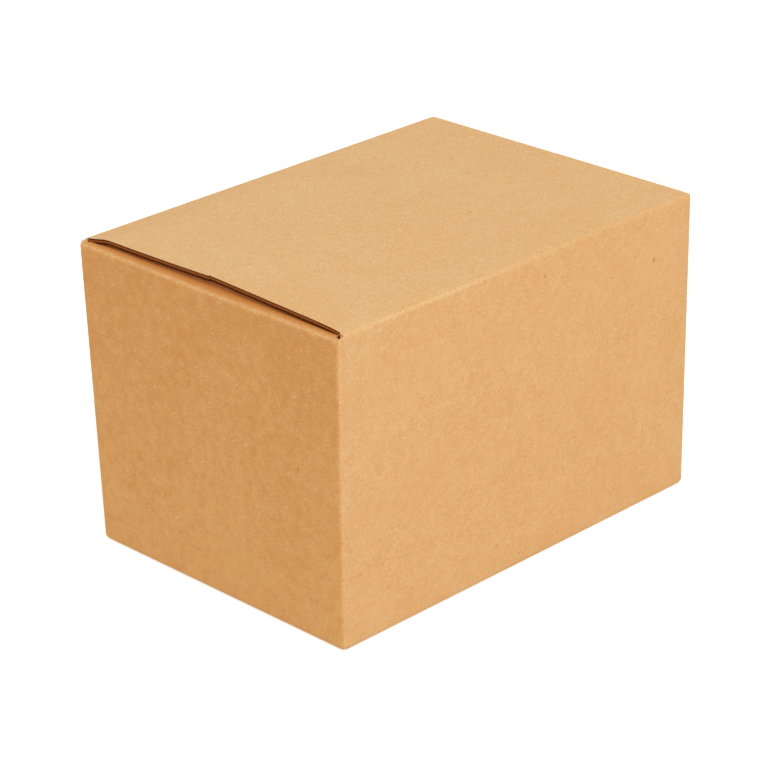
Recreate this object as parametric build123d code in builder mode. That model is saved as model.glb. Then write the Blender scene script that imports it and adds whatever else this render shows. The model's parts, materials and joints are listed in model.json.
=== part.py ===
"""Closed shipping carton of corrugated board, folded from one slotted blank.

Axes: X across the width, Y along the length, +Z up. The origin is on the floor, below the middle.
The four walls, the glue tab, the bottom flaps and the two inner top flaps stay folded, so they are
one solid. The two outer top flaps swing on their creases, so each is a solid of its own. They meet
along the middle of the top and stand a little open, as flaps do that nothing holds down.
"""

from build123d import *
import math
import os

# Outside of the folded carton, all sizes in millimetres
length = 306.0            # end wall to end wall, along Y
width = 225.0             # long wall to long wall, along X
height = 200.0            # floor to the top of the fold over a long wall

# Board
board = 3.2               # whole thickness of single wall board
liner = 0.35              # each of the two flat papers
flute_paper = 0.3         # wavy paper between them, across its own thickness
flute_flank = 0.45        # the same paper where it slants, along the board
flute_tip = 0.9           # flat of a wave where it is glued to a liner
nominal_pitch = 6.5       # wave to wave
flute_round = 0.3         # rounding of the channels' corners

# Folds and cuts
corner_radius = 2.5       # upright corners, outside
fold_radius = 3.0         # folds between a wall and its flaps, outside
heel_radius = 2.4         # the same fold on an outer top flap
crushed_crease = 7.0      # width of flap next to its crease where the flutes are pressed flat
slot_setback = 5.5        # outer flaps end this far in from the end walls' outer faces
back_setback = 1.0        # the same at the back of the top, where its flaps sit further out
side_clearance = 1.4      # inner flaps to the long walls' inner faces, each side
layer_gap = 0.3           # air between two layers that lie on each other
seam_gap = 0.5            # outer flaps' meeting edges, if the flaps lay level
glue_tab_width = 35.0
glue_tab_gap = 2.0        # above and below the glue tab

# Outer top flaps
flap_tilt = 3.0           # degrees that each one rises towards the middle
hinge_inset = 0.7         # crease line in from the fold's two outer faces

# Worked out from the sizes above
wall_top = height - board - layer_gap
inner_flap_width = width - 2 * (board + side_clearance)
bottom_flap_length = length - 2 * slot_setback
top_flap_length = length - slot_setback - back_setback
top_flap_middle = (slot_setback - back_setback) / 2
flap_depth = (width - seam_gap) / 2
inner_flap_reach = flap_depth - board / 2
ramp_end = slot_setback - layer_gap
inner_floor = board + layer_gap

os.makedirs("parts", exist_ok=True)


def fold_cutter(plane, reach, radius):
    """Remove what a rounded fold leaves off a square edge running along the plane's normal."""
    with BuildSketch(plane) as cutter:
        with Locations((-radius / 2, -radius / 2)):
            Rectangle(radius, radius)
        with Locations((-radius, -radius)):
            Circle(radius, mode=Mode.SUBTRACT)
    extrude(cutter.sketch, amount=reach, both=True, mode=Mode.SUBTRACT)


# Walls, glue tab, bottom flaps and inner top flaps
with BuildPart() as carton:
    with BuildSketch():
        RectangleRounded(width, length, corner_radius)
        Rectangle(width - 2 * board, length - 2 * board, mode=Mode.SUBTRACT)
    extrude(amount=wall_top)

    # The glue tab is folded from a long wall and lies inside the end wall, behind the corner
    tab_foot = inner_floor + board + glue_tab_gap
    with BuildSketch(Plane.XY.offset(tab_foot)):
        with Locations((-width / 2 + board / 2, length / 2 - board / 2)):
            Rectangle(glue_tab_width + board / 2, board / 2 + board, align=(Align.MIN, Align.MAX))
    extrude(amount=wall_top - board - glue_tab_gap - tab_foot)

    # Outer bottom flaps, from the long walls to the seam under the middle
    with BuildSketch():
        for side in (-1, 1):
            with Locations((side * (width / 2 - board / 2 + seam_gap / 2) / 2, 0)):
                Rectangle((width - board - seam_gap) / 2, bottom_flap_length)
    extrude(amount=board)

    # Inner flaps, from the end walls, above the outer bottom flaps and level with the walls' top
    for flap_foot in (inner_floor, wall_top - board):
        with BuildSketch(Plane.XY.offset(flap_foot)):
            for end in (-1, 1):
                with Locations((0, end * (length / 2 - board / 2 - inner_flap_reach / 2))):
                    Rectangle(inner_flap_width, inner_flap_reach)
        extrude(amount=board)

    # At the foot of each end wall the board climbs from the floor onto the outer bottom flaps
    for end in (-1, 1):
        with BuildSketch(Plane.YZ):
            with BuildLine():
                Polyline(
                    (end * (length / 2 - board / 2), 0),
                    (end * (length / 2 - board), 0),
                    (end * (length / 2 - ramp_end), inner_floor),
                    (end * (length / 2 - board / 2), inner_floor),
                    close=True,
                )
            make_face()
        extrude(amount=inner_flap_width / 2, both=True)

    # Rounded folds: end walls at top and foot, long walls at the foot
    for end in (-1, 1):
        wall_face = end * length / 2
        end_top = Plane(origin=(0, wall_face, wall_top), x_dir=(0, end, 0), z_dir=(end, 0, 0))
        fold_cutter(end_top, width / 2, fold_radius)
        end_foot = Plane(origin=(0, wall_face, 0), x_dir=(0, end, 0), z_dir=(-end, 0, 0))
        fold_cutter(end_foot, width / 2, fold_radius)
    for side in (-1, 1):
        side_foot = Plane(origin=(side * width / 2, 0, 0), x_dir=(side, 0, 0), z_dir=(0, side, 0))
        fold_cutter(side_foot, length / 2, fold_radius)

carton.part.label = "carton"
export_step(carton.part, "parts/carton.step")


# Channels of the board: one space between the wavy paper and a liner, drawn wide side down
flute_count = round(top_flap_length / nominal_pitch)
pitch = top_flap_length / flute_count
channel_height = board - 2 * liner - flute_paper
channel_base = pitch - flute_tip - 2 * flute_flank
flank_angle = math.degrees(math.atan2(channel_height, (channel_base - flute_tip) / 2))

with BuildSketch() as channel:
    Trapezoid(channel_base, channel_height, flank_angle)
    fillet(channel.vertices(), flute_round)

# Outer top flaps: the waves run from the crease to the free edge, where their ends show
tilt = math.radians(flap_tilt)
board_middle = hinge_inset - board / 2
channel_shift = flute_paper / 2
first_wave = -top_flap_length / 2
upper_channels = [(first_wave + n * pitch, board_middle + channel_shift) for n in range(flute_count + 1)]
lower_channels = [(first_wave + (n + 0.5) * pitch, board_middle - channel_shift) for n in range(flute_count)]

for side, side_name in ((-1, "left"), (1, "right")):
    crease = Plane(
        origin=(side * (width / 2 - hinge_inset), top_flap_middle, height - hinge_inset),
        x_dir=(0, -side, 0),
        z_dir=(-side * math.cos(tilt), 0, math.sin(tilt)),
    )
    with BuildPart() as top_flap:
        with BuildSketch(crease.offset(-hinge_inset)):
            with Locations((0, board_middle)):
                Rectangle(top_flap_length, board)
        extrude(amount=flap_depth)
        crease_edges = top_flap.edges().filter_by(Axis.Y).sort_by(Axis.X, reverse=side > 0)[:2]
        fillet(crease_edges.sort_by(Axis.Z)[-1], heel_radius)

        with BuildSketch(crease.offset(crushed_crease - hinge_inset)):
            with Locations(*upper_channels):
                add(channel.sketch, rotation=180)
            with Locations(*lower_channels):
                add(channel.sketch)
        extrude(amount=flap_depth - crushed_crease, mode=Mode.SUBTRACT)

    top_flap.part.label = f"top_flap_{side_name}"
    export_step(top_flap.part, f"parts/top_flap_{side_name}.step")
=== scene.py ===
"""Looks of a closed shipping carton of kraft corrugated board.

The carton is one slotted blank: two end walls, two long walls, a glue tab and eight flaps. Every wall
and flap is built here as board with rounded folds, flat papers outside and inside and wavy paper
between them, and rides on the body that it belongs to. The two outer top flaps stand a little open.
Lengths in this file are millimetres unless a name says otherwise; meshes are made in metres.
"""

import json
import logging
import math
from collections.abc import Callable
from dataclasses import dataclass, field
from enum import Enum

import bpy
import numpy as np
from mathutils import Matrix, Vector

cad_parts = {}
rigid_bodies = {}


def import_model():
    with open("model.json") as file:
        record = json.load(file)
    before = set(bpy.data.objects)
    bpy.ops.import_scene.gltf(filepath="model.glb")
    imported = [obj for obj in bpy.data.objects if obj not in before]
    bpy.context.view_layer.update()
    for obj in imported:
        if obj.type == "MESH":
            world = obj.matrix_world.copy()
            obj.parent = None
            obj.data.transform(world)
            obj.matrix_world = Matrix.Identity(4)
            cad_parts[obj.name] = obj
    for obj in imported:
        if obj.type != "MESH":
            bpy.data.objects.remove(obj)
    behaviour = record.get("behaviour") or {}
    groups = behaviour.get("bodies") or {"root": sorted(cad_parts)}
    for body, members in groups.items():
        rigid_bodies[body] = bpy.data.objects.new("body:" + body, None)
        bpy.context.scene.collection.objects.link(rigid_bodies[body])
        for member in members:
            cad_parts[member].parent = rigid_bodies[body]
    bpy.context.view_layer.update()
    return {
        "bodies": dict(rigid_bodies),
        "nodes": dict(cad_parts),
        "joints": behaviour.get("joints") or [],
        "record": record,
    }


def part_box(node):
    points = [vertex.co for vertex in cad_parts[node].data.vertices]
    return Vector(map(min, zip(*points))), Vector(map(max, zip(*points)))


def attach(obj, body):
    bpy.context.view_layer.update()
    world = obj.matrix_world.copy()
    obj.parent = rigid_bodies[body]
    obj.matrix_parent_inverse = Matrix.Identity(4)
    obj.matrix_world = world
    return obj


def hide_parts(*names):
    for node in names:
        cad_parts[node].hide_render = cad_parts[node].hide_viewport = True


MM = 0.001
log = logging.getLogger("carton")

Grid = np.ndarray
Shape = Callable[[np.ndarray, np.ndarray], np.ndarray]


# ---------------------------------------------------------------- small tools


def linear(code: str) -> tuple[float, float, float, float]:
    """Turn an sRGB hex colour into linear light.

    Args:
        code: The colour as "#RRGGBB".

    Returns:
        Red, green, blue and an alpha of one.
    """
    parts = [int(code[i : i + 2], 16) / 255 for i in (1, 3, 5)]
    light = [c / 12.92 if c <= 0.04045 else ((c + 0.055) / 1.055) ** 2.4 for c in parts]
    return (light[0], light[1], light[2], 1.0)


def smooth(t: np.ndarray) -> np.ndarray:
    """Ease from 0 to 1: three t squared less two t cubed, with t held between 0 and 1."""
    t = np.clip(t, 0.0, 1.0)
    return t * t * (3 - 2 * t)


def add_node(
    tree: bpy.types.NodeTree,
    kind: str,
    settings: dict[str | int, object] | None = None,
    links: dict[str | int, bpy.types.NodeSocket] | None = None,
) -> bpy.types.Node:
    """Add one shader node.

    Args:
        tree: The node tree that gets the node.
        kind: The node's type name.
        settings: Values for its inputs, by name or number, or for its own properties.
        links: The output that feeds each input, by the input's name or number.

    Returns:
        The new node.
    """
    node = tree.nodes.new(kind)
    for name, value in (settings or {}).items():
        if isinstance(name, int) or name in node.inputs:
            node.inputs[name].default_value = value
        else:
            setattr(node, name, value)
    for name, socket in (links or {}).items():
        tree.links.new(socket, node.inputs[name])
    return node


def shell(outer: Grid, inner: Grid) -> tuple[np.ndarray, np.ndarray, np.ndarray]:
    """Close two grids of the same shape into one solid skin.

    The outer grid is one face of the board and the inner grid the other. Quads join neighbours in
    each grid, and four strips of quads join the two grids along their borders.

    Args:
        outer: Rows by columns by 3 points.
        inner: The points under them.

    Returns:
        The points, the quads facing outwards, and for each quad whether it is part of a border.
    """
    rows, columns = outer.shape[:2]
    number = np.arange(rows * columns).reshape(rows, columns)
    flip = number + rows * columns
    top = np.stack([number[:-1, :-1], number[1:, :-1], number[1:, 1:], number[:-1, 1:]], -1)
    under = np.stack([flip[:-1, :-1], flip[:-1, 1:], flip[1:, 1:], flip[1:, :-1]], -1)
    ring = np.concatenate([number[0, :-1], number[:-1, -1], number[-1, :0:-1], number[:0:-1, 0]])
    after = np.roll(ring, -1)
    low = rows * columns
    rim = np.stack([ring, after, after + low, ring + low], -1)
    quads = np.concatenate([top.reshape(-1, 4), under.reshape(-1, 4), rim])
    is_rim = np.zeros(len(quads), bool)
    is_rim[-len(rim) :] = True
    points = np.concatenate([outer.reshape(-1, 3), inner.reshape(-1, 3)])
    a, b, c, d = (points[quads[:, k]] for k in range(4))
    volume = (np.einsum("ij,ij->i", a, np.cross(b, c)) + np.einsum("ij,ij->i", a, np.cross(c, d))).sum()
    if volume < 0:
        quads = quads[:, ::-1]
    return points, quads, is_rim


@dataclass
class BoardMesh:
    """Collects closed skins of board and makes them one object.

    Attributes:
        points: One array of points for each skin.
        quads: One array of quads for each skin.
        slots: One array of material numbers for each skin.
        wear_and_painted_light_arrays: One array for each skin: crease scuffing with painted highlight from 0 to 1, and
            painted shade below 0.
    """

    points: list[np.ndarray] = field(default_factory=list)
    quads: list[np.ndarray] = field(default_factory=list)
    slots: list[np.ndarray] = field(default_factory=list)
    wear_and_painted_light_arrays: list[np.ndarray] = field(default_factory=list)

    def add(self, outer: Grid, inner: Grid, face: int, rim: int, wear_and_painted_light: Grid | None = None) -> None:
        """Add the skin between two grids.

        Args:
            outer: One face of the paper or board.
            inner: Its other face.
            face: Material number of both faces.
            rim: Material number of the cut borders.
            wear_and_painted_light: At each point of one grid, crease scuffing with painted highlight above 0 and
                painted shade below 0, or None for none.
        """
        points, quads, is_rim = shell(outer, inner)
        start = sum(len(p) for p in self.points)
        rubbed_and_painted_light = np.zeros(outer.shape[:2]) if wear_and_painted_light is None else wear_and_painted_light
        self.points.append(points)
        self.quads.append(quads + start)
        self.slots.append(np.where(is_rim, rim, face))
        self.wear_and_painted_light_arrays.append(np.concatenate([rubbed_and_painted_light.ravel(), np.zeros(rubbed_and_painted_light.size)]))

    def build(self, name: str, materials: list[bpy.types.Material]) -> bpy.types.Object:
        """Make the object, in metres, with soft shading that breaks at sharp edges.

        Args:
            name: The piece's name.
            materials: Its materials, in the order of the material numbers.

        Returns:
            The new object, linked to the scene.
        """
        mesh = bpy.data.meshes.new(name)
        mesh.from_pydata((np.concatenate(self.points) * MM).tolist(), [], np.concatenate(self.quads).tolist())
        for material in materials:
            mesh.materials.append(material)
        mesh.polygons.foreach_set("material_index", np.concatenate(self.slots).astype(np.int32))
        mesh.polygons.foreach_set("use_smooth", np.ones(len(mesh.polygons), bool))
        mesh.set_sharp_from_angle(angle=math.radians(38))
        # This point attribute carries crease scuffing with painted highlight above 0 and painted shade below 0; on the
        # wavy paper it is the share of the colour next to a cut edge.
        wear_and_painted_light = mesh.attributes.new("wear_and_painted_light", "FLOAT", "POINT")
        wear_and_painted_light.data.foreach_set("value", np.concatenate(self.wear_and_painted_light_arrays).astype(np.float32))
        mesh.validate()
        mesh.update()
        piece = bpy.data.objects.new(name, mesh)
        bpy.context.scene.collection.objects.link(piece)
        return piece


# ---------------------------------------------------------------- finishes


class Coat(Enum):
    """The number of each material on a piece of board."""

    LINER = 0
    FLUTE = 1
    EDGE = 2


@dataclass(frozen=True)
class Fleck:
    """Loose fibres and specks that lie in a sheet of kraft.

    Attributes:
        colour: Their colour.
        spacing_mm: Mean distance between two of them.
        size_mm: Half of their length.
        share: Share of the places that hold one.
        strength: How much of their colour shows.
        slim: How much shorter they are than long, along X, Y and Z.
        turn: Their direction, as angles about X, Y and Z.
    """

    colour: str
    spacing_mm: float
    size_mm: float
    share: float
    strength: float
    slim: tuple[float, float, float] = (1.0, 1.0, 1.0)
    turn: tuple[float, float, float] = (0.5, 0.9, 0.4)

    def strew(
        self,
        tree: bpy.types.NodeTree,
        place: bpy.types.NodeSocket,
        colour: bpy.types.NodeSocket,
        strength: float,
    ) -> bpy.types.NodeSocket:
        """Mix the flecks into a colour: round the middles of random cells, where a cell has one."""
        turned = {"Scale": self.slim, "Rotation": self.turn}
        drawn = add_node(tree, "ShaderNodeMapping", turned, {"Vector": place}).outputs["Vector"]
        cell = {"Scale": 1 / (self.spacing_mm * MM)}
        cells = add_node(tree, "ShaderNodeTexVoronoi", cell, {"Vector": drawn})
        reach = self.size_mm / self.spacing_mm
        near = {"From Min": reach, "From Max": reach * 0.4, "To Min": 0.0, "To Max": self.strength * strength}
        spot = add_node(tree, "ShaderNodeMapRange", near, {"Value": cells.outputs["Distance"]})
        chance = add_node(tree, "ShaderNodeSeparateColor", {}, {0: cells.outputs["Color"]})
        held = {"operation": "LESS_THAN", 1: self.share}
        kept = add_node(tree, "ShaderNodeMath", held, {0: chance.outputs[0]})
        both = {0: spot.outputs[0], 1: kept.outputs[0]}
        amount = add_node(tree, "ShaderNodeMath", {"operation": "MULTIPLY"}, both)
        mix = {"data_type": "RGBA", 7: linear(self.colour)}
        return add_node(tree, "ShaderNodeMix", mix, {0: amount.outputs[0], 6: colour}).outputs[2]


KRAFT_FLECKS = (
    Fleck("#CE8F50", 4.2, 0.85, 0.50, 0.38, (1.0, 0.5, 0.8), (0.5, 0.9, 0.4)),
    Fleck("#F3D6A6", 4.8, 0.80, 0.55, 0.40, (0.5, 1.0, 0.8), (0.2, 0.3, 1.1)),
    Fleck("#B77236", 15.0, 1.00, 0.55, 0.55, (1.0, 0.6, 0.6), (0.8, 0.1, 0.7)),
    Fleck("#7A4A22", 46.0, 1.05, 0.60, 0.80, (1.0, 0.7, 0.5), (0.3, 0.5, 0.2)),
)


@dataclass(frozen=True)
class KraftLiner:
    """Recycled kraft liner: unbleached fibre, rolled flat and left uncoated.

    That gives a matt tan sheet, clouded where fibres bunch, with short loose fibres and specks. The
    finest grain of such paper is a tenth of a millimetre and is drawn coarser, so that it shows.

    Attributes:
        name: Name of the material.
        tan: Colour of the thin places.
        deep: Colour where the fibres bunch.
        pale_and_highlight: Colour of scuffed creases, which also stands for a painted highlight along them.
        painted_shade_orange: A deeper orange: painted shade on the strip behind the front fold, under the outer flaps'
            edge, and next to cut edges; it also shows faintly along the long creases.
        painted_shade_dark: Darker painted shade, on the lower liner next to a cut edge.
        cloud_mm: Size of the broad clouds.
        flock_mm: Size of the flocks.
        grain_mm: Size of the fine grain.
        painted_floor_bounce: How much further the mix moves to tan at the foot than at the head, as painted light
            bounced up from the floor.
        fleck_strength: How much the flecks show.
        grain_weight: How much the fine grain counts.
        flock_weight: How much the flocks count.
        flecks: Its loose fibres and specks.
    """

    name: str
    tan: str
    deep: str
    pale_and_highlight: str = "#F4D6A8"
    painted_shade_orange: str = "#DC9448"
    painted_shade_dark: str = "#6A2C10"
    cloud_mm: float = 48.0
    flock_mm: float = 7.0
    grain_mm: float = 1.3
    painted_floor_bounce: float = 0.0
    fleck_strength: float = 1.0
    grain_weight: float = 1.0
    flock_weight: float = 0.55
    flecks: tuple[Fleck, ...] = KRAFT_FLECKS

    def build(self) -> bpy.types.Material:
        """Make the material."""
        material = bpy.data.materials.new(self.name)
        material.use_nodes = True
        tree = material.node_tree
        shader = tree.nodes["Principled BSDF"]
        shader.inputs["Roughness"].default_value = 0.88
        shader.inputs["IOR"].default_value = 1.45
        shader.inputs["Specular IOR Level"].default_value = 0.25
        place = add_node(tree, "ShaderNodeTexCoord").outputs["Object"]

        colour = self.mottled(tree, place)
        for fleck in self.flecks:
            colour = fleck.strew(tree, place, colour, self.fleck_strength)
        tree.links.new(self.rubbed_and_painted_light(tree, place, colour), shader.inputs["Base Color"])
        tree.links.new(self.grain(tree, place), shader.inputs["Normal"])
        return material

    def noise(
        self, tree: bpy.types.NodeTree, place: bpy.types.NodeSocket, size_mm: float, detail: float
    ) -> bpy.types.NodeSocket:
        """Return a noise whose features are about size_mm across."""
        settings = {"Scale": 1 / (size_mm * MM), "Detail": detail, "Roughness": 0.6, "Distortion": 0.4}
        return add_node(tree, "ShaderNodeTexNoise", settings, {"Vector": place}).outputs["Fac"]

    def mottled(self, tree: bpy.types.NodeTree, place: bpy.types.NodeSocket) -> bpy.types.NodeSocket:
        """Mix both colours by the weighted sum of clouds, flocks and grain."""
        fine = self.noise(tree, place, self.grain_mm, 1.0)
        weigh = {"operation": "MULTIPLY_ADD", 1: self.grain_weight, 2: 0.5 - 0.5 * self.grain_weight}
        total = add_node(tree, "ShaderNodeMath", weigh, {0: fine}).outputs[0]
        for size_mm, weight in ((self.flock_mm, self.flock_weight), (self.cloud_mm, 0.32)):
            layer = self.noise(tree, place, size_mm, 2.0)
            add = {"operation": "MULTIPLY_ADD", 1: weight}
            total = add_node(tree, "ShaderNodeMath", add, {0: layer, 2: total}).outputs[0]
        # Painted light: the mix turns paler towards the foot and deeper towards the head, for light bounced up from
        # the floor.
        if self.painted_floor_bounce:
            height = add_node(tree, "ShaderNodeSeparateXYZ", {}, {"Vector": place}).outputs["Z"]
            paling = {"operation": "MULTIPLY_ADD", 1: -self.painted_floor_bounce / (200 * MM), 2: self.painted_floor_bounce / 2}
            lower = add_node(tree, "ShaderNodeMath", paling, {0: height})
            total = add_node(tree, "ShaderNodeMath", {"operation": "ADD"}, {0: lower.outputs[0], 1: total}).outputs[0]
        centre = 0.66 + 0.5 * self.flock_weight
        spread = {"From Min": centre - 0.21, "From Max": centre + 0.22, "To Min": 0.0, "To Max": 1.0}
        share = add_node(tree, "ShaderNodeMapRange", spread, {"Value": total})
        mix = {"data_type": "RGBA", 6: linear(self.deep), 7: linear(self.tan)}
        return add_node(tree, "ShaderNodeMix", mix, {0: share.outputs[0]}).outputs[2]

    def rubbed_and_painted_light(
        self, tree: bpy.types.NodeTree, place: bpy.types.NodeSocket, colour: bpy.types.NodeSocket
    ) -> bpy.types.NodeSocket:
        """Lighten the creases in short dashes where the value is above 0, as scuffing and painted highlight.

        Below 0 the sheet deepens to its painted-shade orange, and from -1 to -2 to its darker painted shade.
        """
        wear_and_painted_light = add_node(tree, "ShaderNodeAttribute", {"attribute_name": "wear_and_painted_light"}).outputs["Fac"]
        patch = self.noise(tree, place, 2.0, 3.0)
        spread = {"From Min": 0.36, "From Max": 0.70, "To Min": 0.12, "To Max": 0.55}
        uneven = add_node(tree, "ShaderNodeMapRange", spread, {"Value": patch})
        share = add_node(tree, "ShaderNodeMath", {"operation": "MULTIPLY"}, {0: wear_and_painted_light, 1: uneven.outputs[0]})
        mix = {"data_type": "RGBA", 7: linear(self.pale_and_highlight)}
        colour = add_node(tree, "ShaderNodeMix", mix, {0: share.outputs[0], 6: colour}).outputs[2]
        # Painted shade: below 0 the sheet moves to the deeper orange.
        below = {"operation": "MULTIPLY", "use_clamp": True, 1: -1.0}
        painted_shade_orange = add_node(tree, "ShaderNodeMath", below, {0: wear_and_painted_light}).outputs[0]
        mix = {"data_type": "RGBA", 7: linear(self.painted_shade_orange)}
        colour = add_node(tree, "ShaderNodeMix", mix, {0: painted_shade_orange, 6: colour}).outputs[2]
        # Painted shade: from -1 to -2 the sheet moves on to the darker shade colour.
        beyond = {"operation": "MULTIPLY_ADD", "use_clamp": True, 1: -1.0, 2: -1.0}
        painted_shade_dark = add_node(tree, "ShaderNodeMath", beyond, {0: wear_and_painted_light}).outputs[0]
        mix = {"data_type": "RGBA", 7: linear(self.painted_shade_dark)}
        return add_node(tree, "ShaderNodeMix", mix, {0: painted_shade_dark, 6: colour}).outputs[2]

    def grain(self, tree: bpy.types.NodeTree, place: bpy.types.NodeSocket) -> bpy.types.NodeSocket:
        """Raise the fibre grain a few hundredths of a millimetre."""
        fine = self.noise(tree, place, 1.3, 3.0)
        broad = self.noise(tree, place, 8.0, 1.0)
        height = add_node(tree, "ShaderNodeMath", {"operation": "ADD"}, {0: fine, 1: broad})
        bump = {"Strength": 0.3, "Distance": 0.12 * MM}
        return add_node(tree, "ShaderNodeBump", bump, {"Height": height.outputs[0]}).outputs["Normal"]


@dataclass(frozen=True)
class CutBoard:
    """Raw paper inside the board: the wavy fluting medium, or papers cut across.

    The medium is unsized recycled fibre, browner and rougher than the liner. Its colour moves from the one at a cut
    edge to a darker one further in; on the wavy paper that darker colour is painted shade inside the board's channels.

    Attributes:
        name: Name of the material.
        near_cut: Colour at a cut edge.
        away_from_cut: Colour away from it, painted shade on the wavy paper.
        grain_mm: Size of the rough fibres.
    """

    name: str
    near_cut: str
    away_from_cut: str
    grain_mm: float = 0.9

    def build(self) -> bpy.types.Material:
        """Make the material."""
        material = bpy.data.materials.new(self.name)
        material.use_nodes = True
        tree = material.node_tree
        shader = tree.nodes["Principled BSDF"]
        shader.inputs["Roughness"].default_value = 0.94
        shader.inputs["Specular IOR Level"].default_value = 0.15
        place = add_node(tree, "ShaderNodeTexCoord").outputs["Object"]
        settings = {"Scale": 1 / (self.grain_mm * MM), "Detail": 3.0, "Roughness": 0.7}
        fibre = add_node(tree, "ShaderNodeTexNoise", settings, {"Vector": place}).outputs["Fac"]
        wear_and_painted_light = add_node(tree, "ShaderNodeAttribute", {"attribute_name": "wear_and_painted_light"}).outputs["Fac"]
        rough = {"operation": "MULTIPLY_ADD", 1: 0.5, 2: -0.25}
        uneven = add_node(tree, "ShaderNodeMath", rough, {0: fibre})
        total = {"operation": "ADD", "use_clamp": True}
        share = add_node(tree, "ShaderNodeMath", total, {0: uneven.outputs[0], 1: wear_and_painted_light})
        # On the wavy paper, the darker colour away from a cut edge is painted shade inside the channels.
        mix = {"data_type": "RGBA", 6: linear(self.away_from_cut), 7: linear(self.near_cut)}
        colour = add_node(tree, "ShaderNodeMix", mix, {0: share.outputs[0]})
        tree.links.new(colour.outputs[2], shader.inputs["Base Color"])
        bump = add_node(tree, "ShaderNodeBump", {"Strength": 0.5, "Distance": 0.1 * MM}, {"Height": fibre})
        tree.links.new(bump.outputs["Normal"], shader.inputs["Normal"])
        return material


@dataclass(frozen=True)
class StudioFloor:
    """White sweep of painted board, lit so evenly that it photographs as plain white.

    Attributes:
        name: Name of the material.
        white: Colour of the paint.
        lift: Light that only the eye sees, so that unshaded floor reads as white.
    """

    name: str
    white: str
    lift: float

    def build(self) -> bpy.types.Material:
        """Make the material."""
        material = bpy.data.materials.new(self.name)
        material.use_nodes = True
        tree = material.node_tree
        tree.nodes.remove(tree.nodes["Principled BSDF"])
        matt = add_node(tree, "ShaderNodeBsdfDiffuse", {"Color": linear(self.white)})
        path = add_node(tree, "ShaderNodeLightPath")
        seen = seen_directly(tree, path)
        strength = add_node(tree, "ShaderNodeMath", {"operation": "MULTIPLY", 1: self.lift}, {0: seen})
        glow = add_node(tree, "ShaderNodeEmission", {}, {"Strength": strength.outputs[0]})
        both = add_node(tree, "ShaderNodeAddShader", {}, {0: matt.outputs[0], 1: glow.outputs[0]})
        tree.links.new(both.outputs[0], tree.nodes["Material Output"].inputs["Surface"])
        return material


def seen_directly(tree: bpy.types.NodeTree, path: bpy.types.Node) -> bpy.types.NodeSocket:
    """Add up a Light Path node's camera, glossy and transmission rays, held at one."""
    some = add_node(
        tree,
        "ShaderNodeMath",
        {"operation": "ADD"},
        {0: path.outputs["Is Camera Ray"], 1: path.outputs["Is Glossy Ray"]},
    )
    every = {"operation": "ADD", "use_clamp": True}
    links = {0: some.outputs[0], 1: path.outputs["Is Transmission Ray"]}
    return add_node(tree, "ShaderNodeMath", every, links).outputs[0]


# ---------------------------------------------------------------- board and folds


@dataclass(frozen=True)
class Board:
    """Single wall corrugated board.

    Attributes:
        thickness: Outside of one liner to the outside of the other.
        liner: Thickness of each liner.
        medium: Thickness of the wavy paper.
        pitch: Distance from wave to wave.
    """

    thickness: float = 3.2
    liner: float = 0.35
    medium: float = 0.3
    pitch: float = 6.5


@dataclass(frozen=True)
class CartonSize:
    """Sizes of the carton, read from the frame where it holds them.

    Attributes:
        length: End wall to end wall, along Y.
        width: Long wall to long wall, along X.
        wall_top: Height of the end walls' top fold.
        top_flap_ends: Where the outer top flaps start and end along Y.
        hinge: Crease line of an outer top flap: in from the long wall's face, and its height.
        board: The board.
        layer_gap: Air between two layers that lie on each other.
        side_clearance: Inner flaps to the long walls' inner faces.
        seam_gap: Between the free edges of two flaps.
        top_seam_gap: The same on the closed top.
        foot_narrowing: How far each long wall leans in at its foot.
        foot_shift: How far the foot stands to the right of the top.
        corner_radius: Rounding of the upright corners.
        fold_radius: Rounding of the folds.
        crushed: Width of flap next to its crease where the waves are pressed flat.
        pressed: The same of the left and of the right outer top flap.
        front_spring: How far the front fold stands above the back one.
    """

    length: float
    width: float
    wall_top: float
    top_flap_ends: tuple[float, float]
    hinge: tuple[float, float]
    board: Board = Board()
    layer_gap: float = 0.3
    side_clearance: float = 1.4
    seam_gap: float = 0.5
    top_seam_gap: float = 0.2
    foot_narrowing: float = 4.4
    foot_shift: float = 1.7
    corner_radius: float = 2.5
    fold_radius: float = 3.4
    crushed: float = 6.0
    pressed: tuple[float, float] = (2.6, 3.8)
    front_spring: float = 2.0

    @property
    def height(self) -> float:
        """Height of the fold over a long wall."""
        return self.wall_top + self.board.thickness + self.layer_gap

    @property
    def inner_floor(self) -> float:
        """Underside of the inner bottom flaps."""
        return self.board.thickness + self.layer_gap

    @property
    def inner_flap_width(self) -> float:
        """Width of the inner flaps, between the long walls."""
        return self.width - 2 * (self.board.thickness + self.side_clearance)

    @property
    def flap_depth(self) -> float:
        """Depth of a flap, from the wall's outer face to its free edge."""
        return (self.width - self.seam_gap) / 2

    @property
    def bottom_flap_length(self) -> float:
        """Length of the outer bottom flaps along Y."""
        return -2 * self.top_flap_ends[0]

    def crease_wear_and_painted_light(self, y: np.ndarray) -> np.ndarray:
        """Return how light a long crease is along its length, as scuffing and painted highlight, most at a quarter of
        it; elsewhere it is slightly below 0, which turns it faintly to the deeper orange.
        """
        return 0.95 * np.exp(-(((y + self.length / 4) / 70.0) ** 2)) - 0.12

    @classmethod
    def from_frame(cls, frame: dict) -> "CartonSize":
        """Read the sizes that the frame holds.


        Returns:
            The sizes in millimetres.
        """
        low, high = (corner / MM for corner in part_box("carton"))
        flap_low, flap_high = (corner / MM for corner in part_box("top_flap_right"))
        joint = next(j for j in frame["joints"] if j["child"] == "top_flap_right")
        hinge_x, _, hinge_z = (value / MM for value in joint["pos_m"])
        return cls(
            length=high.y - low.y,
            width=high.x - low.x,
            wall_top=high.z,
            top_flap_ends=(flap_low.y, flap_high.y),
            hinge=(high.x - hinge_x, hinge_z),
        )


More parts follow.
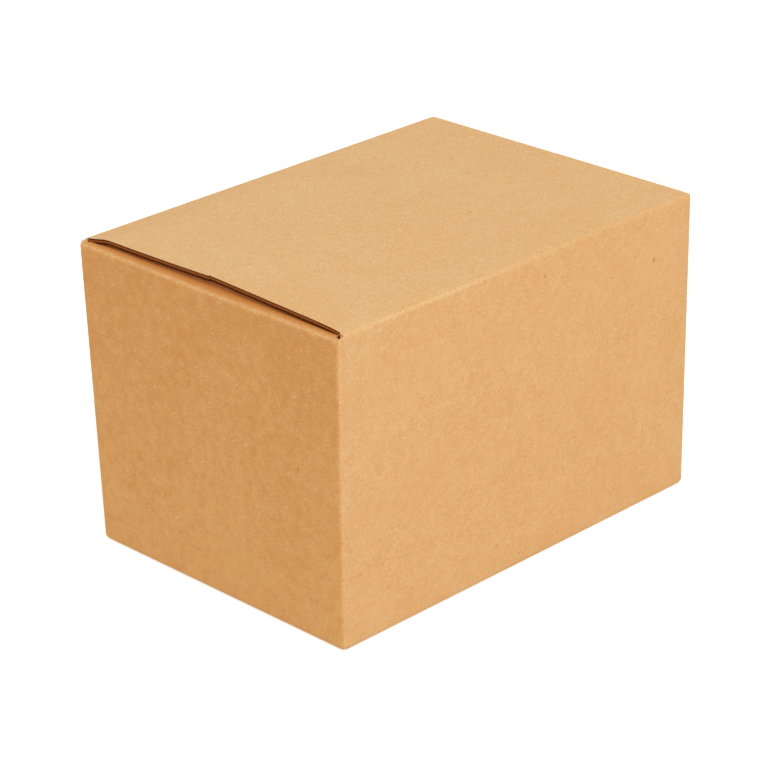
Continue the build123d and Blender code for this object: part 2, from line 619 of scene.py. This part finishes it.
@dataclass(frozen=True)
class TopRise:
    """How far the closed top stands above level, because the folded layers under it spring.

    Attributes:
        size: Sizes of the carton.
        left_knee: Rise of the left flap a little way in from its crease.
        left_rest: What the left flap rises further to the middle.
        right_knee: Rise of the right flap next to its crease.
        right_rest: What the right flap rises further to the middle.
        back: Rise of both flaps at the back end.
    """

    size: CartonSize
    left_knee: float = 3.5
    left_rest: float = 1.6
    right_knee: float = 1.5
    right_rest: float = 4.2
    back: float = 0.2

    def __call__(self, x: np.ndarray, y: np.ndarray) -> np.ndarray:
        """Return the rise at points of the top.

        At the front the left flap bows up to its knee and then climbs with the square of the
        distance from the crease; the right flap climbs evenly. At the back both lie nearly level.
        Between the ends the two are mixed by an even share of the length.

        Args:
            x: Places across the carton.
            y: Places along it.

        Returns:
            The rise in millimetres.
        """
        half = self.size.width / 2
        inward = np.clip(half - np.abs(x), 0, None) / half
        reach = inward * half
        left = self.left_knee * smooth(reach / 24) + self.left_rest * inward**2
        right = (self.right_knee * (1 - np.exp(-reach / 8)) + self.right_rest * inward) * smooth(reach / 5)
        front = np.where(x < 0, left, right)
        back = self.back * smooth(reach / 9) + np.where(x < 0, 0.0, 0.15) * inward
        share = np.clip(y / self.size.length + 0.5, 0, 1)
        return front * (1 - share) + back * share


def arc(centre: tuple[float, float], radius: float, start: float, end: float, count: int) -> np.ndarray:
    """Return count points on an arc, from start to end in degrees."""
    angle = np.radians(np.linspace(start, end, count))
    return np.stack([centre[0] + radius * np.cos(angle), centre[1] + radius * np.sin(angle)], -1)


def spread_along(path: np.ndarray, count: int) -> np.ndarray:
    """Place count points evenly along a path of points."""
    steps = np.concatenate([[0.0], np.cumsum(np.linalg.norm(np.diff(path, axis=0), axis=1))])
    where = np.linspace(0, steps[-1], count)
    return np.stack([np.interp(where, steps, path[:, k]) for k in range(path.shape[1])], -1)


@dataclass
class Carton:
    """The folded blank without its outer top flaps.

    Attributes:
        size: Sizes of the carton.
        rise: Rise of the closed top.
        coats: Liner, wavy paper and cut edge of the long walls, in the order of Coat.
        end_coats: The same of the end walls.
        body: The body that it rides on.
        slot: The material slot that it takes its finish from; not used.
        columns: Points across a wall.
        wall_rows: Points up a wall between its folds.
        fold_rows: Points round a fold.
    """

    size: CartonSize
    rise: TopRise
    coats: list[bpy.types.Material]
    end_coats: list[bpy.types.Material]
    body: str = "carton"
    slot: str = "kraft_board"
    columns: int = 49
    wall_rows: int = 25
    fold_rows: int = 34

    def lean(self, points: Grid) -> Grid:
        """Narrow the carton towards its foot and shift it sideways, evenly with the depth below the top."""
        share = 1 - np.clip(points[..., 2] / self.size.height, 0, 1)
        moved = points.copy()
        moved[..., 0] *= 1 - self.size.foot_narrowing * share / (self.size.width / 2)
        moved[..., 0] += self.size.foot_shift * share
        return moved

    def plans(
        self, half: float, low_end: str, high_end: str, marks: tuple[float, ...]
    ) -> tuple[np.ndarray, np.ndarray]:
        """Lay out a wall's columns: place along the wall, and how far the corner draws them in.

        The straight stretch is spaced evenly, with more columns at the marks. A "fold" end turns
        through 45 degrees to the middle of the upright corner. A "raw" end stops square. A "tab"
        end turns through 90 degrees, one board short, into the glue tab. The inner face has the
        same columns, closed up next to the corner.

        Args:
            half: Half of the wall's length, to the corner where the faces would meet.
            low_end: How the wall ends at its low side.
            high_end: How it ends at its high side.
            marks: Places where a slot is cut.

        Returns:
            For the outer and for the inner face, columns by 2: place, and inset from the outer face.
        """
        board, close = self.size.board.thickness, 0.8
        turn = np.linspace(0, 1, 9)
        outer, inner = {}, {}
        for side, kind in ((-1, low_end), (1, high_end)):
            if kind == "raw":
                place, inset = half - 0.2 - (1 - turn) * 2, np.zeros(9)
                inner[side] = np.stack([side * place, inset + board], -1)
            else:
                is_tab = kind == "tab"
                radius = self.size.fold_radius if is_tab else self.size.corner_radius
                edge = half - (board + 0.15 if is_tab else 0.0)
                sweep = math.radians(90 if is_tab else 45) * turn
                place, inset = edge - radius + radius * np.sin(sweep), radius * (1 - np.cos(sweep))
                under = board + (radius - board) * turn * is_tab
                inner[side] = np.stack([side * (edge - board - (1 - turn) * close), under], -1)
            outer[side] = np.stack([side * place, inset], -1)
        low, high = outer[-1][0, 0], outer[1][0, 0]
        straight = np.union1d(np.linspace(low, high, self.columns), marks)
        straight = straight[(straight > low + 0.05) & (straight < high - 0.05)]
        within = np.clip((straight - low) / (high - low), 0, 1)
        squeezed = inner[-1][0, 0] + within * (inner[1][0, 0] - inner[-1][0, 0])
        faces = []
        for ends, places, depth in ((outer, straight, 0.0), (inner, squeezed, board)):
            middle = np.stack([places, np.full(len(places), depth)], -1)
            faces.append(np.concatenate([ends[-1][::-1], middle, ends[1]]))
        return faces[0], faces[1]

    def wall_grids(
        self,
        outer_path: np.ndarray,
        inner_path: np.ndarray,
        plans: tuple[np.ndarray, np.ndarray],
        flap_half: float,
        narrow_top: bool,
    ) -> tuple[Grid, Grid, Grid]:
        """Sweep a wall's folded section along its plan.

        Each row is one point of the section and each column one point of the plan. Where a row
        belongs to a flap, its columns close up to the flap's narrower width.

        Args:
            outer_path: The section's outer line: inset from the wall's face, and height.
            inner_path: The inner line, row for row.
            plans: The columns of the outer and of the inner face.
            flap_half: Half of the flaps' width.
            narrow_top: Whether the top rows belong to a flap too.

        Returns:
            Outer and inner grid of (place along the wall, inset, height), and the crease scuffing with painted
            highlight.
        """
        middle_height = self.size.height / 2
        grids = []
        for path, plan in zip((outer_path, inner_path), plans):
            inset, height = path[:, None, 0], path[:, None, 1]
            in_flap = smooth((outer_path[:, None, 0] - 1.4) / 2.0)
            bent = 1.7 * outer_path[:, None, 0] * (height < middle_height)
            if not narrow_top:
                in_flap = np.where(height > middle_height, 0.0, in_flap)
            reach = np.abs(plan[:, 0]).max()
            share = plan[None, :, 0] / reach
            corner = smooth((np.abs(plan[None, :, 0]) - reach + 7.0) / 6.0) * np.sign(plan[None, :, 0])
            along = (plan[None, :, 0] - bent * corner) * (1 - in_flap) + share * flap_half * in_flap
            face = plan[len(plan) // 2, 1]
            drawn = (plan[None, :, 1] - face) * (1 - in_flap) + inset
            grids.append(np.stack(np.broadcast_arrays(along, drawn, height), -1))
        # Crease scuffing and painted highlight: lighter along the upright corners and round the 45 degree point of
        # each fold.
        from_corner = np.abs(np.abs(plans[0][:, 0]).max() - np.abs(plans[0][:, 0]))
        upright = 0.2 * np.exp(-((from_corner / 1.3) ** 2))
        knee = self.size.fold_radius * (1 - math.cos(math.radians(45)))
        travelled = np.concatenate([[0.0], np.cumsum(np.linalg.norm(np.diff(outer_path, axis=0), axis=1))])
        folds = [np.abs(outer_path[half, 0] - min(knee, outer_path[half, 0].max())).argmin() for half in self.halves()]
        bends = [travelled[half][fold] for half, fold in zip(self.halves(), folds)]
        bend = sum(np.exp(-(((travelled - at) / 1.1) ** 2)) for at in bends)
        return grids[0], grids[1], np.maximum(upright[None, :], bend[:, None])

    def halves(self) -> tuple[slice, slice]:
        """Return the rows round a wall's foot and the rows round its head."""
        return slice(0, self.fold_rows), slice(-self.fold_rows, None)

    def heights(self) -> np.ndarray:
        """Return the heights of the rows between the folds."""
        return np.linspace(7.0, self.size.wall_top - 7.0, self.wall_rows)

    def end_section(self) -> tuple[np.ndarray, np.ndarray]:
        """Return outer and inner line of an end wall with the roots of its two inner flaps."""
        size, board = self.size, self.size.board.thickness
        radius, floor, top, root = size.fold_radius, size.inner_floor, size.wall_top, size.crushed + 2
        foot = np.concatenate(
            [
                [(root, floor), (5.2, floor), (4.6, 0.8), (4.1, 0.25)],
                arc((radius, radius), radius, 270, 180, 12),
                [(0.0, 7.0)],
            ]
        )
        head = np.concatenate([[(0.0, top - 7)], arc((radius, top - radius), radius, 180, 90, 14), [(root, top)]])
        inner_foot = np.array([(root, floor + board), (board + 0.3, floor + board), (board, floor + board + 0.4)])
        inner_foot = np.concatenate([inner_foot, [(board, floor + board + 0.6)]])
        inner_head = np.array(
            [(board, top - 7), (board, top - board - 0.4), (board + 0.4, top - board), (root, top - board)]
        )
        straight = self.heights()
        outer = [spread_along(foot, self.fold_rows), np.stack([straight * 0, straight], -1)[1:-1]]
        inner = [spread_along(inner_foot, self.fold_rows), np.stack([straight * 0 + board, straight], -1)[1:-1]]
        outer.append(spread_along(head, self.fold_rows))
        inner.append(spread_along(inner_head, self.fold_rows))
        return np.concatenate(outer), np.concatenate(inner)

    def long_section(self) -> tuple[np.ndarray, np.ndarray]:
        """Return outer and inner line of a long wall, from the root of its bottom flap to its crease."""
        size, board = self.size, self.size.board.thickness
        radius, root = size.fold_radius, size.crushed + 2
        inset, crease = size.hinge[0], size.hinge[1]
        round_radius = inset / (1 - math.cos(math.radians(45)))
        foot = np.concatenate([[(root, 0.0)], arc((radius, radius), radius, 270, 180, 14), [(0.0, 7.0)]])
        inner_foot = np.array([(root, board), (board + 0.3, board), (board, board + 0.3), (board, 7.0)])
        low = size.wall_top - 7
        head = np.concatenate([[(0.0, low)], arc((round_radius, size.height - round_radius), round_radius, 180, 135, 9)])
        inner_head = np.array([(board, low), (board, size.height - board)])
        head[-1] = (inset, crease)
        straight = self.heights()
        outer = [spread_along(foot, self.fold_rows), np.stack([straight * 0, straight], -1)[1:-1]]
        inner = [spread_along(inner_foot, self.fold_rows), np.stack([straight * 0 + board, straight], -1)[1:-1]]
        outer.append(spread_along(head, self.fold_rows))
        inner.append(spread_along(inner_head, self.fold_rows))
        return np.concatenate(outer), np.concatenate(inner)

    def end_wall(self, end: int) -> bpy.types.Object:
        """Build an end wall with both of its inner flaps.

        Args:
            end: -1 for the front end and 1 for the back end.

        Returns:
            The piece.
        """
        size = self.size
        outer_path, inner_path = self.end_section()
        flap_half = size.inner_flap_width / 2
        marks = tuple(side * (flap_half + past) for side in (-1, 1) for past in (-2.0, 0.0, 1.2))
        plans = self.plans(size.width / 2, "raw" if end > 0 else "fold", "fold", marks)
        grids = self.wall_grids(outer_path, inner_path, plans, flap_half, True)
        board = BoardMesh()

        def place(grid: Grid) -> Grid:
            along, inset, height = (grid[..., k] for k in range(3))
            y = end * (size.length / 2 - inset)
            lift = self.inner_lift(along, y, inset) * smooth((height - 140) / 50)
            return self.lean(np.stack([along, y, height + lift], -1))

        # Painted shade: on the front inner flaps, the strip just behind the fold, under the outer flaps' edge, deepens
        # to orange.
        painted_shade_orange = np.exp(-(((grids[0][..., 1] - 5.1) / 2.1) ** 2)) * (grids[0][..., 2] > 100) * (end < 0)
        wear_and_painted_light = 0.85 * grids[2] - 0.9 * painted_shade_orange
        board.add(place(grids[0]), place(grids[1]), Coat.LINER.value, Coat.EDGE.value, wear_and_painted_light)
        root = size.crushed + 2
        for level, is_top in ((size.inner_floor, False), (size.wall_top - size.board.thickness, True)):

            def flap_place(s: np.ndarray, v: np.ndarray, h: np.ndarray, is_top: bool = is_top, level: float = level) -> Grid:
                y = end * (size.length / 2 - s)
                lift = self.inner_lift(v, y, s) if is_top else 0.0
                return self.lean(np.stack(np.broadcast_arrays(v, y, level + h + lift), -1))

            sheet = Corrugated(size.board, root, size.flap_depth, size.inner_flap_width, outside_up=is_top)
            sheet.add_to(board, flap_place)
        name = "end_wall_front" if end < 0 else "end_wall_back"
        return self.dress(board.build(name, self.end_coats))

    def inner_lift(self, x: np.ndarray, y: np.ndarray, inset: np.ndarray) -> np.ndarray:
        """Lift an inner top flap.

        The front fold springs up evenly, less at its ends, where the slots are cut. Further in, the
        flap follows the outer flaps' underside. It keeps clear of them at the middle of the edge.

        Args:
            x: Places across the carton.
            y: Places along it.
            inset: Distances from the end wall's outer face.

        Returns:
            The lift in millimetres.
        """
        size = self.size
        spring = (size.front_spring - 0.6 * np.exp(-((x / 50) ** 2))) * (y < 0)
        cut = (0.8 - 0.4 * np.sign(x)) * smooth((np.abs(x) - size.inner_flap_width / 2) / 4.0) * (y < 0)
        rise = self.rise(x, y)
        under = np.clip(rise - 0.1 - 0.7 * (rise / 5.7) ** 3, 0, None)
        share = smooth((inset - 1.5) / 18)
        return (spring - cut) * (1 - share) + under * share

    def long_wall(self, side: int) -> bpy.types.Object:
        """Build a long wall with its outer bottom flap.

        Args:
            side: -1 for the left wall and 1 for the right one.

        Returns:
            The piece.
        """
        size = self.size
        outer_path, inner_path = self.long_section()
        front, back = size.top_flap_ends
        marks = (front - 2.4, front - 1.5, front - 0.5, front, back, back + 0.4)
        plans = self.plans(size.length / 2, "fold", "tab" if side < 0 else "fold", marks)
        grids = self.wall_grids(outer_path, inner_path, plans, size.bottom_flap_length / 2, False)
        board = BoardMesh()

        def place(grid: Grid) -> Grid:
            along, inset, height = (grid[..., k] for k in range(3))
            past = np.maximum(front - along, along - back)
            drop = 0.3 * smooth(past / 0.5) + 1.8 * smooth((past - 2.5) / 3.0)
            above = np.clip((height - size.wall_top + 5.0) / (size.hinge[1] - size.wall_top + 5.0), 0, 1)
            return self.lean(np.stack([side * (size.width / 2 - inset), along, height - drop * above], -1))

        # Crease scuffing and painted highlight along the crease, strongest at its front quarter.
        wear_and_painted_light = grids[2] * self.size.crease_wear_and_painted_light(grids[0][..., 0])
        board.add(place(grids[0]), place(grids[1]), Coat.LINER.value, Coat.LINER.value, wear_and_painted_light)

        def flap_place(s: np.ndarray, v: np.ndarray, h: np.ndarray) -> Grid:
            return self.lean(np.stack(np.broadcast_arrays(side * (size.width / 2 - s), v, h), -1))

        reach = size.flap_depth
        sheet = Corrugated(size.board, size.crushed + 2, reach, size.bottom_flap_length, outside_up=False)
        sheet.add_to(board, flap_place)
        name = "long_wall_left" if side < 0 else "long_wall_right"
        return self.dress(board.build(name, self.coats))

    def glue_tab(self) -> bpy.types.Object:
        """Build the tab that the left long wall sends behind the back end wall."""
        size, thick = self.size, self.size.board.thickness
        face = size.length / 2 - thick - 0.15
        x = -size.width / 2 + np.linspace(size.fold_radius, size.fold_radius + 33, 12)
        taper = 6 * (x - x[0]) / (x[-1] - x[0])
        share = np.linspace(0, 1, 20)[:, None]
        low, high = size.inner_floor + thick + 2 + taper, size.wall_top - thick - 2 - taper
        z = low * (1 - share) + high * share
        grids = [self.lean(np.stack(np.broadcast_arrays(x, y, z), -1)) for y in (face, face - thick)]
        board = BoardMesh()
        board.add(grids[0], grids[1], Coat.LINER.value, Coat.EDGE.value)
        return self.dress(board.build("glue_tab", self.coats))

    def dress(self, piece: bpy.types.Object) -> bpy.types.Object:
        """Put a piece on the carton's body, in place of the plain carton."""
        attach(piece, self.body)
        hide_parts("carton")
        return piece

    def build(self) -> list[bpy.types.Object]:
        """Build every wall and the glue tab."""
        pieces = [self.end_wall(-1), self.end_wall(1), self.long_wall(-1), self.long_wall(1)]
        return [*pieces, self.glue_tab()]


@dataclass(frozen=True)
class Corrugated:
    """A flat stretch of board whose waves run away from its crease.

    Attributes:
        board: The board.
        start: Distance of its near edge from the wall's face.
        end: Distance of its free edge.
        breadth: Its size along the crease.
        outside_up: Whether the outer liner is at the top of the board; not used.
        middle: Place of its middle along the crease.
        crushed: Width at each cut edge where the knife has pressed the waves to half their height.
        rows: Points from the crease to the free edge.
        per_wave: Points on each wave.
    """

    board: Board
    start: float
    end: float
    breadth: float
    outside_up: bool
    middle: float = 0.0
    crushed: float = 5.0
    rows: int = 30
    per_wave: int = 10

    def add_to(self, mesh: BoardMesh, place: Callable[[np.ndarray, np.ndarray, np.ndarray], Grid]) -> None:
        """Add both liners and the wavy paper to a mesh.

        The middle of the wavy paper is a cosine along the crease. Next to a cut edge it climbs from
        below half the height to above it, stays there, and joins the wave. Its two faces lie
        half a paper off the middle, measured square to the slope.

        Args:
            mesh: The mesh that gets them.
            place: Turns distance from the wall's face, place along the crease and height in the
                board into a point.
        """
        board = self.board
        waves = round(self.breadth / board.pitch)
        s = np.linspace(self.start, self.end, self.rows)[:, None]
        near = self.breadth / 2 - np.array([0.5, 1.0, 1.6, 2.4])
        flat = np.linspace(-0.5, 0.5, 2 * waves + 1) * self.breadth
        flat = np.union1d(flat, np.concatenate([-near, near]))[None, :] + self.middle
        # Painted shade: the lower liner darkens next to its two cut edges, down to the darker shade colour.
        below = -2.0 * np.exp(-(((self.breadth / 2 - np.abs(flat - self.middle)) / 1.2) ** 2)) + 0 * s
        for low, wear_and_painted_light in ((0.0, below), (board.thickness - board.liner, None)):
            grids = [place(s, flat, np.full_like(s * flat, low + h)) for h in (board.liner, 0.0)]
            mesh.add(grids[0], grids[1], Coat.LINER.value, Coat.EDGE.value, wear_and_painted_light)
        near_edge = self.breadth / 2 - np.array([0.0, 0.12, 0.25, 0.4, 0.55, 0.7, 0.85, 1.0])
        v = np.linspace(-0.5, 0.5, waves * self.per_wave + 1) * self.breadth
        v = np.union1d(v, np.concatenate([-near_edge, near_edge]))[None, :]
        inward = self.breadth / 2 - np.abs(v)
        turn = 2 * math.pi * waves / self.breadth
        swing = (board.thickness - 2 * board.liner - board.medium) / 2 + 0.03
        wave = -swing * np.cos(turn * (v + self.breadth / 2))
        pressed = -0.45 + 0.97 * smooth(inward / 1.2)
        joined = smooth((inward - self.crushed) / 2.0)
        offset = pressed * (1 - joined) + wave * joined
        slope = np.gradient(offset[0], v[0])[None, :]
        half = board.medium / 2 * np.sqrt(1 + slope**2)
        level = np.zeros_like(s) + board.thickness / 2
        faces = [place(s, v + self.middle, level + offset + side * half) for side in (1, -1)]
        # Painted shade: the wavy paper keeps its lighter colour only next to its cut edges and its free edge, and
        # darkens further in.
        near_cut = np.maximum(np.exp(-((inward / 1.3) ** 2)), np.exp(-(((self.end - s) / 0.7) ** 2)))
        mesh.add(faces[0], faces[1], Coat.FLUTE.value, Coat.EDGE.value, near_cut)


@dataclass
class TopFlap:
    """An outer top flap, hinged at its crease over a long wall.

    Attributes:
        size: Sizes of the carton.
        rise: Rise of the closed top.
        side: -1 for the left flap and 1 for the right one.
        coats: Liner, wavy paper and cut edge, in the order of Coat.
    """

    size: CartonSize
    rise: TopRise
    side: int
    coats: list[bpy.types.Material]

    @property
    def side_name(self) -> str:
        """Return "left" or "right"."""
        return "left" if self.side < 0 else "right"

    def place(self, s: np.ndarray, v: np.ndarray, h: np.ndarray) -> Grid:
        """Turn depth from the wall's face, place along the crease and height in the board into points."""
        size = self.size
        x, y, h = np.broadcast_arrays(self.side * (size.width / 2 - s), v, h)
        edge = size.hinge[0] / (size.width / 2)
        lift = self.rise(x, y) * smooth((1 - np.abs(x) / (size.width / 2) - edge) / 0.012 + 0.2)
        return np.stack([x, y, size.height - size.board.thickness + h + lift], -1)

    def build(self) -> bpy.types.Object:
        """Build the flap: its pressed crease, and the corrugated board beyond it."""
        size, board = self.size, self.size.board
        inset, crease = size.hinge
        radius = inset / (1 - math.cos(math.radians(45)))
        lip = arc((radius, board.thickness - radius), radius, 135, 90, 10)
        lip[0] = (inset, crease - size.height + board.thickness)
        pressed = size.pressed[self.side > 0]
        outer = spread_along(np.concatenate([lip, [(pressed, board.thickness)]]), 24)
        inner = spread_along(np.array([(inset + 1.2, 0.0), (pressed, 0.0)]), 24)
        front, back = size.top_flap_ends
        y = np.linspace(front, back, 93)[None, :]
        grids = [self.place(p[:, :1], y, p[:, 1:]) for p in (outer, inner)]
        # Crease scuffing and painted highlight along the crease, strongest at its front quarter.
        wear_and_painted_light = np.exp(-(((outer[:, :1] - inset) / 0.9) ** 2)) * size.crease_wear_and_painted_light(y)
        mesh = BoardMesh()
        mesh.add(grids[0], grids[1], Coat.LINER.value, Coat.LINER.value, wear_and_painted_light)
        free_edge = (size.width - size.top_seam_gap) / 2
        middle = (front + back) / 2
        sheet = Corrugated(board, pressed, free_edge, back - front, True, middle=middle, rows=48)
        sheet.add_to(mesh, self.place)
        piece = mesh.build(f"{self.side_name}_top_flap_board", self.coats)
        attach(piece, f"top_flap_{self.side_name}")
        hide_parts(f"top_flap_{self.side_name}")
        return piece


# ---------------------------------------------------------------- studio


@dataclass(frozen=True)
class Lamp:
    """A square soft box that points at the carton.

    Attributes:
        name: Its name.
        towards: Direction from the carton to the lamp.
        distance_m: Distance from the carton.
        side_m: Size of the soft box.
        watts: Its power.
        colour: Its colour.
    """

    name: str
    towards: tuple[float, float, float]
    distance_m: float
    side_m: float
    watts: float
    colour: str = "#FFFFFF"

    def build(self) -> bpy.types.Object:
        """Hang the lamp."""
        data = bpy.data.lights.new(self.name, "AREA")
        data.size = self.side_m
        data.energy = self.watts
        data.color = linear(self.colour)[:3]
        lamp = bpy.data.objects.new(self.name, data)
        direction = Vector(self.towards).normalized()
        lamp.location = direction * self.distance_m + Vector((0, 0, 0.1))
        lamp.rotation_euler = direction.to_track_quat("Z", "Y").to_euler()
        bpy.context.scene.collection.objects.link(lamp)
        return lamp


@dataclass(frozen=True)
class Studio:
    """Floor, light and camera.

    Attributes:
        ambient: Strength of the even light from all round.
        ambient_colour: Its colour.
        azimuth: Camera's direction round the carton, in degrees; 0 looks along +Y.
        elevation: Its height over the horizon, in degrees.
        roll: Its turn about its own axis, in degrees.
        distance: Camera to the point that it aims at.
        aim: That point.
        lens_mm: Focal length on a 36 mm wide sensor.
    """

    ambient: float = 0.76
    ambient_colour: str = "#FFF8EE"
    azimuth: float = 45.63
    elevation: float = 24.1
    roll: float = -1.38
    distance: float = 1840.0
    aim: tuple[float, float, float] = (-0.75, -7.2, 89.8)
    lens_mm: float = 137.95

    def floor(self) -> bpy.types.Object:
        """Lay the floor, a sheet a few metres wide that sags by nothing and dips at its rim."""
        side = np.linspace(-4000, 4000, 17)
        x, y = np.meshgrid(side, side)
        z = -0.02 - 30 * smooth((np.hypot(x, y) - 3200) / 900)
        grid = np.stack([x, y, z], -1)
        sheet = BoardMesh()
        sheet.add(grid, grid - (0, 0, 5), 0, 0)
        piece = sheet.build("floor", [StudioFloor("studio_floor", "#F1F3F6", 0.52).build()])
        return piece

    def light(self) -> None:
        """Set the even light and hang the soft box."""
        world = bpy.data.worlds.new("studio_light")
        bpy.context.scene.world = world
        world.use_nodes = True
        tree = world.node_tree
        even = tree.nodes["Background"]
        even.inputs["Color"].default_value = linear(self.ambient_colour)
        even.inputs["Strength"].default_value = self.ambient
        white = add_node(tree, "ShaderNodeBackground", {"Color": (1, 1, 1, 1), "Strength": 1.0})
        seen = seen_directly(tree, add_node(tree, "ShaderNodeLightPath"))
        both = add_node(tree, "ShaderNodeMixShader", {}, {0: seen, 1: even.outputs[0], 2: white.outputs[0]})
        tree.links.new(both.outputs[0], tree.nodes["World Output"].inputs["Surface"])
        Lamp("key", (0.625, -0.219, 0.75), 4.5, 2.6, 64.0, "#FFFFFF").build()

    def camera(self) -> None:
        """Set up the camera."""
        a, e, r = (math.radians(v) for v in (self.azimuth, self.elevation, self.roll))
        back = Vector((math.sin(a) * math.cos(e), -math.cos(a) * math.cos(e), math.sin(e)))
        data = bpy.data.cameras.new("camera")
        data.lens = self.lens_mm
        data.sensor_width = 36.0
        data.clip_end = 100.0
        camera = bpy.data.objects.new("camera", data)
        level = Vector((math.cos(a), math.sin(a), 0.0))
        rise = back.cross(level)
        right = level * math.cos(r) + rise * math.sin(r)
        up = back.cross(right)
        turn = Matrix((right, up, back)).transposed().to_4x4()
        place = Vector(self.aim) * MM + back * self.distance * MM
        camera.matrix_world = Matrix.Translation(place) @ turn
        bpy.context.scene.collection.objects.link(camera)
        bpy.context.scene.camera = camera

    def build(self) -> None:
        """Set up floor, light and camera."""
        bpy.context.scene.view_settings.view_transform = "Standard"
        self.floor()
        self.light()
        self.camera()


def main() -> None:
    """Load the frame, build the carton and its flaps, and set up the studio."""
    logging.basicConfig(level=logging.INFO, format="%(name)s: %(message)s")
    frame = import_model()
    size = CartonSize.from_frame(frame)
    rise = TopRise(size)
    # The wavy paper darkens away from its cut edges, as painted shade inside the channels.
    medium = CutBoard("fluting_medium", "#B06023", "#3A170A").build()
    # Painted shade: the cut papers of the flaps and glue tab are nearly black, for the shade under the top liner and
    # in the gap below a flap's cut edge.
    edge = CutBoard("cut_papers_painted_shade", "#4C200E", "#32140A").build()
    raw = CutBoard("cut_board", "#A87444", "#7A4E28").build()
    grains = {"grain_mm": 0.8, "grain_weight": 2.4, "flock_weight": 0.4}
    # Painted light and shade: one kraft in four copies, each tuned to the light on its faces: the flaps paler, as lit
    # from above, the end walls deeper and more orange, as in shade, and the two flaps tinted slightly apart.
    side = KraftLiner("kraft_liner_long_walls", "#E5BC88", "#DFA96D", grain_mm=1.0, grain_weight=1.3).build()
    # The end walls turn paler towards the foot, as painted light bounced up from the floor.
    end = KraftLiner("kraft_liner_end_walls_shaded", "#E3B06F", "#D79858", grain_mm=1.0, grain_weight=1.3,
                      flock_weight=0.7, painted_floor_bounce=0.26, fleck_strength=0.8).build()
    left = KraftLiner("kraft_liner_left_flap_lit", "#E4C493", "#DFAD74", **grains).build()
    right = KraftLiner("kraft_liner_right_flap_lit", "#E5C391", "#E0AD73", **grains).build()

    pieces = Carton(size, rise, [side, medium, edge], [end, medium, raw]).build()
    pieces.append(TopFlap(size, rise, -1, [left, medium, edge]).build())
    pieces.append(TopFlap(size, rise, 1, [right, medium, edge]).build())
    for piece in pieces:
        log.info("%s: %d faces", piece.name, len(piece.data.polygons))
    Studio().build()


if __name__ == "__main__":
    main()
